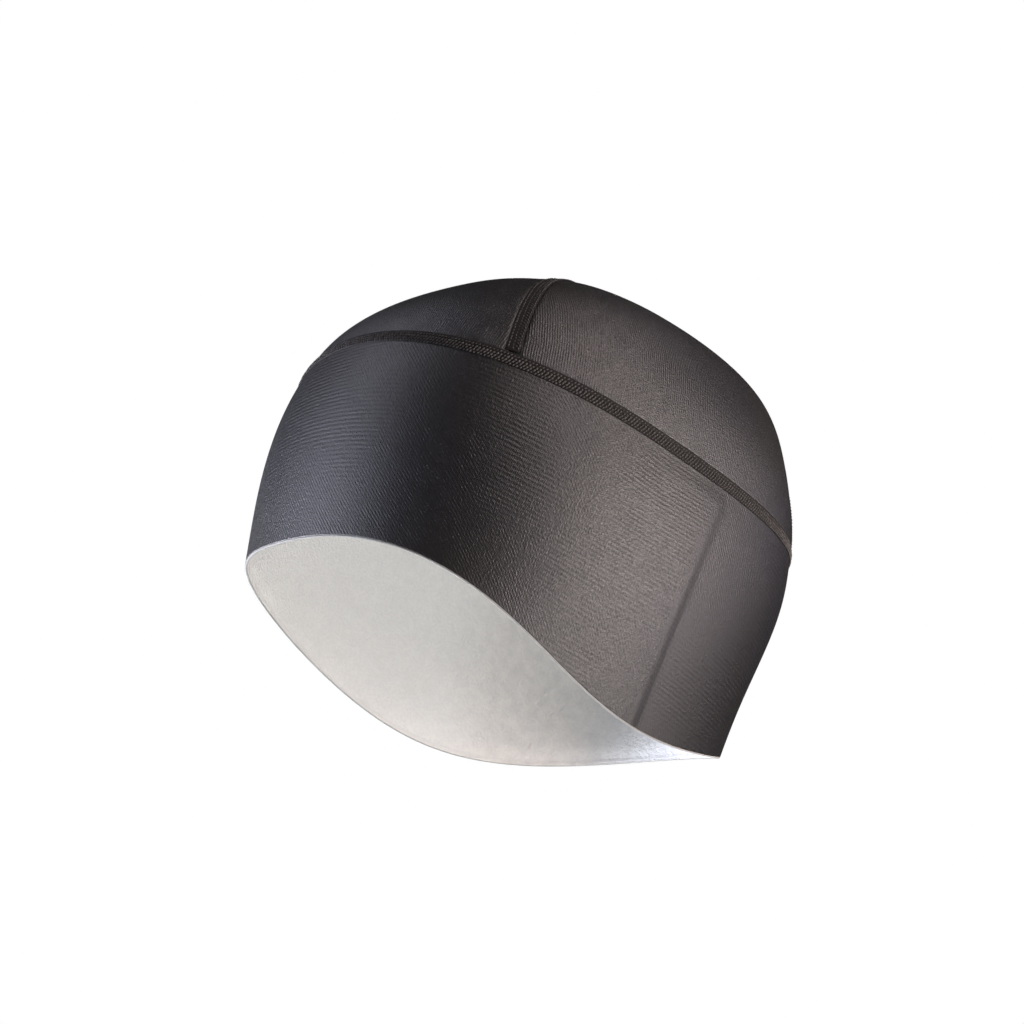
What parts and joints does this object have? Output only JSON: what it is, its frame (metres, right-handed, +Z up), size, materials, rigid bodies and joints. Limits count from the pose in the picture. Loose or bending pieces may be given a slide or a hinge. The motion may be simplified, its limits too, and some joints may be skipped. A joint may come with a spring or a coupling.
{
  "type": "helmet liner cap",
  "caption": "Stretch-knit skull cap worn under a helmet: a deep fleece-lined band and a crown of four gores, joined by flatlock seams, held in its worn shape.",
  "frame": {"origin": "underside of the crown seams' crossing at the top of the cap, where the top of a head touches it", "axes": "+Z up as worn, -Y towards the brow, +X towards the wearer's left ear"},
  "size_m": [0.1638, 0.1904, 0.1592],
  "materials": {
    "face_knit": "fine stretch knit with a soft sheen",
    "fleece": "brushed fleece, matte",
    "seam_thread": "matte stitched thread"
  },
  "bodies": {
    "root": {"band": "face_knit", "crown_front": "face_knit", "crown_left": "face_knit", "crown_back": "face_knit", "crown_right": "face_knit", "band_lining": "fleece", "crown_lining_front": "fleece", "crown_lining_left": "fleece", "crown_lining_back": "fleece", "crown_lining_right": "fleece", "ring_seam": "seam_thread", "crown_seam_long": "seam_thread", "crown_seam_front": "seam_thread", "crown_seam_rear": "seam_thread"}
  },
  "joints": []
}
